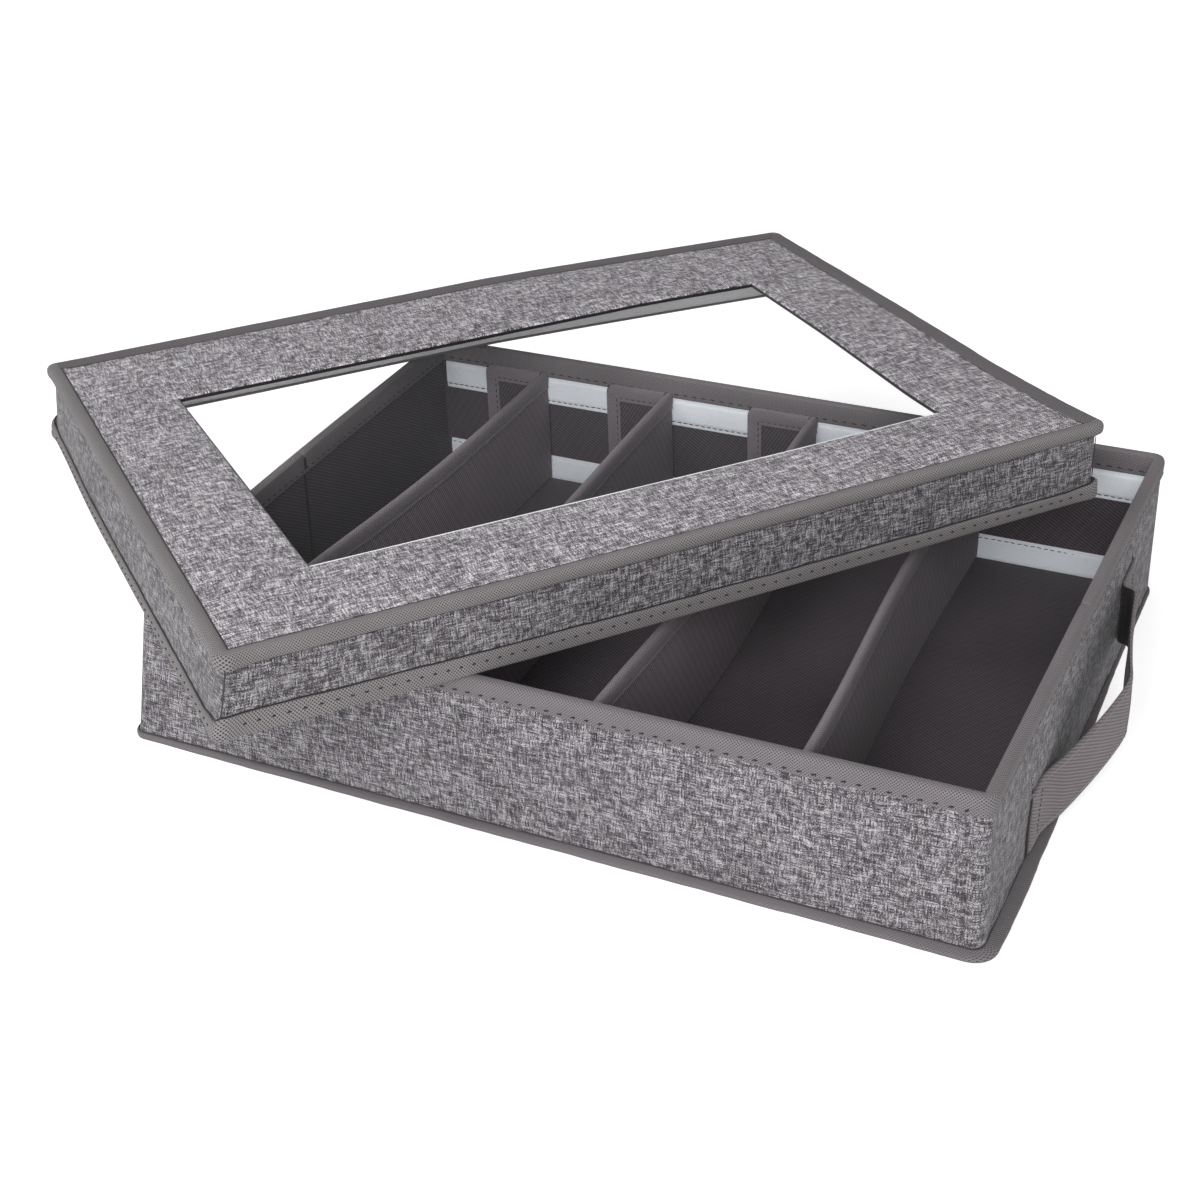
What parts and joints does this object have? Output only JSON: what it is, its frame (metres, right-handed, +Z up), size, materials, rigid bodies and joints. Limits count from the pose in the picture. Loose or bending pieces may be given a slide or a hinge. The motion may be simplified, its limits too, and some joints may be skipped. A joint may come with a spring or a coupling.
{
  "type": "flatware storage case",
  "caption": "Fabric-covered flatware case with movable hook-and-loop dividers, webbing side handles and a lift-off lid with a clear window, laid askew on the rim.",
  "frame": {"origin": "the middle of the box floor's underside", "axes": "+X along the box's long side to the right, +Y away from the viewer to the back wall, +Z up"},
  "size_m": [0.5449, 0.5162, 0.1143],
  "materials": {
    "outer_fabric": "heathered linen-look weave",
    "binding_tape": "embossed non-woven tape",
    "lining_fabric": "ribbed non-woven",
    "divider_fabric": "ribbed non-woven",
    "loop_tape": "pale loop tape",
    "hook_tape": "dark hook tape",
    "webbing": "ribbed webbing",
    "board": "raw chipboard",
    "window_film": "clear film"
  },
  "bodies": {
    "root": {"base_cover": "outer_fabric", "floor_board": "board", "floor_lining": "lining_fabric", "outer_cover": "outer_fabric", "wall_lining": "lining_fabric", "back_wall_strips": "loop_tape", "front_wall_strips": "loop_tape", "front_wall_board": "board", "back_wall_board": "board", "left_wall_board_front": "board", "left_wall_board_back": "board", "right_wall_board_front": "board", "right_wall_board_back": "board", "rim_binding_front": "binding_tape", "base_binding_front": "binding_tape", "rim_binding_back": "binding_tape", "base_binding_back": "binding_tape", "rim_binding_left": "binding_tape", "base_binding_left": "binding_tape", "rim_binding_right": "binding_tape", "base_binding_right": "binding_tape", "left_handle_ends": "webbing", "right_handle_ends": "webbing"},
    "left_handle": {"left_handle_strap": "webbing"},
    "right_handle": {"right_handle_strap": "webbing"},
    "divider_1": {"divider_1_panel": "divider_fabric", "divider_1_top_binding": "divider_fabric"},
    "divider_1_front_flap": {"divider_1_front_flap": "divider_fabric", "divider_1_front_hooks": "hook_tape"},
    "divider_1_back_flap": {"divider_1_back_flap": "divider_fabric", "divider_1_back_hooks": "hook_tape"},
    "divider_2": {"divider_2_panel": "divider_fabric", "divider_2_top_binding": "divider_fabric"},
    "divider_2_front_flap": {"divider_2_front_flap": "divider_fabric", "divider_2_front_hooks": "hook_tape"},
    "divider_2_back_flap": {"divider_2_back_flap": "divider_fabric", "divider_2_back_hooks": "hook_tape"},
    "divider_3": {"divider_3_panel": "divider_fabric", "divider_3_top_binding": "divider_fabric"},
    "divider_3_front_flap": {"divider_3_front_flap": "divider_fabric", "divider_3_front_hooks": "hook_tape"},
    "divider_3_back_flap": {"divider_3_back_flap": "divider_fabric", "divider_3_back_hooks": "hook_tape"},
    "divider_4": {"divider_4_panel": "divider_fabric", "divider_4_top_binding": "divider_fabric"},
    "divider_4_front_flap": {"divider_4_front_flap": "divider_fabric", "divider_4_front_hooks": "hook_tape"},
    "divider_4_back_flap": {"divider_4_back_flap": "divider_fabric", "divider_4_back_hooks": "hook_tape"},
    "lid": {"lid_top_board": "board", "lid_top_cover": "outer_fabric", "lid_window": "window_film", "lid_skirt_cover": "outer_fabric", "lid_piping": "binding_tape", "lid_hem": "binding_tape", "lid_skirt_board_front": "board", "lid_skirt_board_back": "board", "lid_skirt_board_left": "board", "lid_skirt_board_right": "board"}
  },
  "joints": [
    {"name": "left_handle_swing", "type": "hinge", "parent": "root", "child": "left_handle", "pos_m": [-0.2062, 0, 0.029], "axis": [0, 1, 0], "range_deg": [-20, 20]},
    {"name": "right_handle_swing", "type": "hinge", "parent": "root", "child": "right_handle", "pos_m": [0.2062, 0, 0.029], "axis": [0, -1, 0], "range_deg": [-20, 20]},
    {"name": "divider_1_slide", "type": "slide", "parent": "root", "child": "divider_1", "axis": [1, 0, 0], "range_m": [-0.015, 0.015]},
    {"name": "divider_1_front_flap_peel", "type": "hinge", "parent": "divider_1", "child": "divider_1_front_flap", "pos_m": [-0.14503, -0.1427, 0.036], "axis": [0, 0, -1], "range_deg": [0, 80]},
    {"name": "divider_1_back_flap_peel", "type": "hinge", "parent": "divider_1", "child": "divider_1_back_flap", "pos_m": [-0.13405, 0.1427, 0.036], "axis": [0, 0, 1], "range_deg": [0, 80]},
    {"name": "divider_2_slide", "type": "slide", "parent": "root", "child": "divider_2", "axis": [1, 0, 0], "range_m": [-0.015, 0.015]},
    {"name": "divider_2_front_flap_peel", "type": "hinge", "parent": "divider_2", "child": "divider_2_front_flap", "pos_m": [-0.05439, -0.1427, 0.036], "axis": [0, 0, -1], "range_deg": [0, 80]},
    {"name": "divider_2_back_flap_peel", "type": "hinge", "parent": "divider_2", "child": "divider_2_back_flap", "pos_m": [-0.06028, 0.1427, 0.036], "axis": [0, 0, 1], "range_deg": [0, 80]},
    {"name": "divider_3_slide", "type": "slide", "parent": "root", "child": "divider_3", "axis": [1, 0, 0], "range_m": [-0.015, 0.015]},
    {"name": "divider_3_front_flap_peel", "type": "hinge", "parent": "divider_3", "child": "divider_3_front_flap", "pos_m": [0.0288, -0.1427, 0.036], "axis": [0, 0, -1], "range_deg": [0, 80]},
    {"name": "divider_3_back_flap_peel", "type": "hinge", "parent": "divider_3", "child": "divider_3_back_flap", "pos_m": [0.02095, 0.1427, 0.036], "axis": [0, 0, 1], "range_deg": [0, 80]},
    {"name": "divider_4_slide", "type": "slide", "parent": "root", "child": "divider_4", "axis": [1, 0, 0], "range_m": [-0.015, 0.015]},
    {"name": "divider_4_front_flap_peel", "type": "hinge", "parent": "divider_4", "child": "divider_4_front_flap", "pos_m": [0.11984, -0.1427, 0.036], "axis": [0, 0, -1], "range_deg": [0, 80]},
    {"name": "divider_4_back_flap_peel", "type": "hinge", "parent": "divider_4", "child": "divider_4_back_flap", "pos_m": [0.10963, 0.1427, 0.036], "axis": [0, 0, 1], "range_deg": [0, 80]},
    {"name": "lid_lift", "type": "slide", "parent": "root", "child": "lid", "axis": [0, 0, 1], "range_m": [0, 0.15]}
  ]
}
